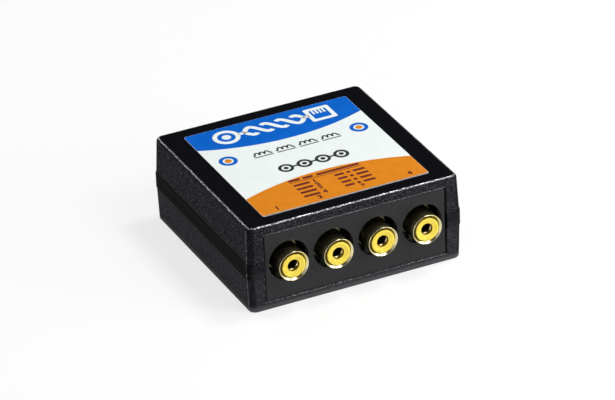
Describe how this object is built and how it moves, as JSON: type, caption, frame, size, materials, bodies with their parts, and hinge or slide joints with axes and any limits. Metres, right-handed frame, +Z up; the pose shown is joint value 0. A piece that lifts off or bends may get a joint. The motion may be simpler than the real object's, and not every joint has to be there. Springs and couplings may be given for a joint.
{
  "type": "video balun",
  "caption": "Flat two-part moulded box with a row of phono jacks in its front panel and a modular data socket behind, matching coaxial video lines to twisted pairs.",
  "frame": {"origin": "middle of the case's flat underside", "axes": "+X to the right along the jack side, +Y from the jacks to the data socket, +Z up"},
  "size_m": [0.0612, 0.0617, 0.0247],
  "materials": {
    "case_plastic": "fine spark-eroded grain",
    "panel_plastic": "smooth satin",
    "label_film": "printed film in blue, white and orange",
    "gold_plate": "gilt",
    "yellow_plastic": "moulded",
    "socket_plastic": "moulded",
    "tinned_plate": "tinned",
    "board_laminate": "solder resist over glass laminate",
    "ferrite": "sintered",
    "copper_wire": "enamelled copper",
    "screw_steel": "zinc plated"
  },
  "bodies": {
    "root": {"top_label": "label_film", "upper_shell": "case_plastic", "lower_shell": "case_plastic", "front_panel": "panel_plastic", "rear_panel": "panel_plastic", "circuit_board": "board_laminate", "socket_housing": "socket_plastic", "socket_carrier": "socket_plastic", "socket_contacts": "gold_plate", "case_screws": "screw_steel", "jack_housing_1": "socket_plastic", "jack_housing_2": "socket_plastic", "jack_housing_3": "socket_plastic", "jack_housing_4": "socket_plastic", "jack_lug_1": "tinned_plate", "jack_lug_2": "tinned_plate", "jack_lug_3": "tinned_plate", "jack_lug_4": "tinned_plate", "jack_barrel_1": "gold_plate", "jack_barrel_2": "gold_plate", "jack_barrel_3": "gold_plate", "jack_barrel_4": "gold_plate", "jack_insert_1": "yellow_plastic", "jack_insert_2": "yellow_plastic", "jack_insert_3": "yellow_plastic", "jack_insert_4": "yellow_plastic", "jack_contact_1": "gold_plate", "jack_contact_2": "gold_plate", "jack_contact_3": "gold_plate", "jack_contact_4": "gold_plate", "balun_core_1": "ferrite", "balun_core_2": "ferrite", "balun_core_3": "ferrite", "balun_core_4": "ferrite", "balun_winding_1": "copper_wire", "balun_winding_2": "copper_wire", "balun_winding_3": "copper_wire", "balun_winding_4": "copper_wire"}
  },
  "joints": []
}
